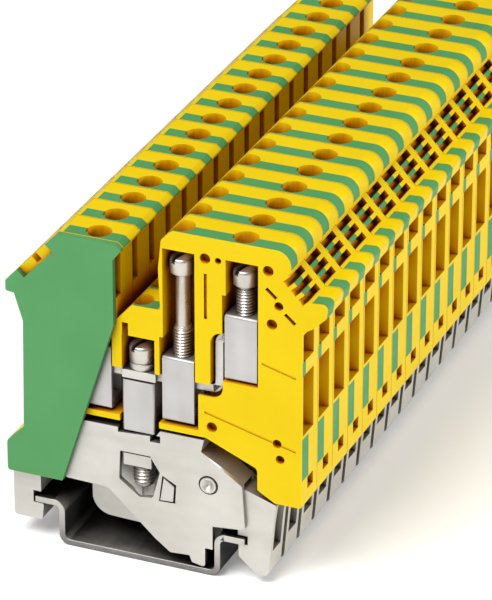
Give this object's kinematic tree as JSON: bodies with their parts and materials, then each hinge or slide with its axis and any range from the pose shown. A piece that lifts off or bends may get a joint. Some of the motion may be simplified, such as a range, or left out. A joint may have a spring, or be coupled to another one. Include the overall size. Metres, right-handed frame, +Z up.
{
  "type": "protective earth terminal block row on a top-hat rail",
  "caption": "Row of yellow-green earth terminal blocks on a slotted top-hat rail; first block open, with cage clamps, foot screw, sliding rail jaw and cut-away end cover.",
  "frame": {"origin": "underside of the rail, at the middle of its width and of its length", "axes": "+X across the rail to the side of the taller tower, +Y along the row away from the open first block, +Z up from the rail"},
  "size_m": [0.0522, 0.1065, 0.0574],
  "materials": {
    "yellow_housing": "moulded polyamide, satin",
    "green_inlay": "moulded polyamide, satin",
    "green_cover": "moulded polyamide, satin",
    "rail_steel": "zinc plated and passivated",
    "screw_steel": "zinc plated, bright",
    "clamp_steel": "zinc plated, satin",
    "tinned_bar": "tin plated copper",
    "foot_steel": "zinc plated sheet"
  },
  "bodies": {
    "row": {"housing_01": "yellow_housing", "housing_02": "yellow_housing", "housing_03": "yellow_housing", "housing_04": "yellow_housing", "housing_05": "yellow_housing", "housing_06": "yellow_housing", "housing_07": "yellow_housing", "housing_08": "yellow_housing", "housing_09": "yellow_housing", "housing_10": "yellow_housing", "housing_11": "yellow_housing", "housing_12": "yellow_housing", "housing_13": "yellow_housing", "housing_14": "yellow_housing", "housing_15": "yellow_housing", "housing_16": "yellow_housing", "housing_17": "yellow_housing", "green_inlay_01": "green_inlay", "green_inlay_02": "green_inlay", "green_inlay_03": "green_inlay", "green_inlay_04": "green_inlay", "green_inlay_05": "green_inlay", "green_inlay_06": "green_inlay", "green_inlay_07": "green_inlay", "green_inlay_08": "green_inlay", "green_inlay_09": "green_inlay", "green_inlay_10": "green_inlay", "green_inlay_11": "green_inlay", "green_inlay_12": "green_inlay", "green_inlay_13": "green_inlay", "green_inlay_14": "green_inlay", "green_inlay_15": "green_inlay", "green_inlay_16": "green_inlay", "green_inlay_17": "green_inlay", "din_rail": "rail_steel", "end_cover": "green_cover", "current_bar": "tinned_bar", "foot_bracket": "foot_steel", "foot_nut": "clamp_steel", "row_current_bars": "tinned_bar", "row_foot_brackets": "foot_steel", "row_foot_nuts": "clamp_steel", "row_foot_screws": "screw_steel", "row_foot_washers": "foot_steel", "row_foot_jaws": "foot_steel", "row_clamp_screws": "screw_steel", "row_clamp_cages": "clamp_steel"},
    "left_screw": {"left_clamp_screw": "screw_steel"},
    "left_cage": {"left_clamp_cage": "clamp_steel"},
    "inner_screw": {"inner_clamp_screw": "screw_steel"},
    "inner_cage": {"inner_clamp_cage": "clamp_steel"},
    "outer_screw": {"outer_clamp_screw": "screw_steel"},
    "outer_cage": {"outer_clamp_cage": "clamp_steel"},
    "foot_screw_and_head": {"foot_screw": "screw_steel"},
    "captive_washer": {"foot_washer": "foot_steel"},
    "rail_jaw": {"foot_jaw": "foot_steel"}
  },
  "joints": [
    {"name": "left_screw_turn", "type": "hinge", "parent": "row", "child": "left_screw", "pos_m": [-0.007, -0.0503, 0.0496], "axis": [0, 0, 1], "range_deg": [-2160.1, 0]},
    {"name": "left_cage_lift", "type": "slide", "parent": "row", "child": "left_cage", "axis": [0, 0, 1], "range_m": [0, 0.003]},
    {"name": "inner_screw_turn", "type": "hinge", "parent": "row", "child": "inner_screw", "pos_m": [0.0066, -0.0503, 0.0528], "axis": [0, 0, 1], "range_deg": [-2160.1, 0]},
    {"name": "inner_cage_lift", "type": "slide", "parent": "row", "child": "inner_cage", "axis": [0, 0, 1], "range_m": [0, 0.003]},
    {"name": "outer_screw_turn", "type": "hinge", "parent": "row", "child": "outer_screw", "pos_m": [0.0168, -0.0503, 0.0528], "axis": [0, 0, 1], "range_deg": [-2160.1, 0]},
    {"name": "outer_cage_lift", "type": "slide", "parent": "row", "child": "outer_cage", "axis": [0, 0, 1], "range_m": [0, 0.003]},
    {"name": "foot_washer_lift", "type": "slide", "parent": "row", "child": "captive_washer", "axis": [0, 0, 1], "range_m": [0, 0.0015]},
    {"name": "foot_screw_turn", "type": "hinge", "parent": "captive_washer", "child": "foot_screw_and_head", "pos_m": [0, -0.0503, 0.0368], "axis": [0, 0, 1], "range_deg": [0, 900.1]},
    {"name": "jaw_slide", "type": "slide", "parent": "row", "child": "rail_jaw", "axis": [-1, 0, 0], "range_m": [0, 0.0016]}
  ],
  "couplings": [
    {"joint": "left_screw_turn", "follows": "left_cage_lift", "rad_per_m": -12566},
    {"joint": "inner_screw_turn", "follows": "inner_cage_lift", "rad_per_m": -12566},
    {"joint": "outer_screw_turn", "follows": "outer_cage_lift", "rad_per_m": -12566},
    {"joint": "foot_screw_turn", "follows": "foot_washer_lift", "rad_per_m": 10472},
    {"joint": "jaw_slide", "follows": "foot_washer_lift", "ratio": 1.0667}
  ]
}
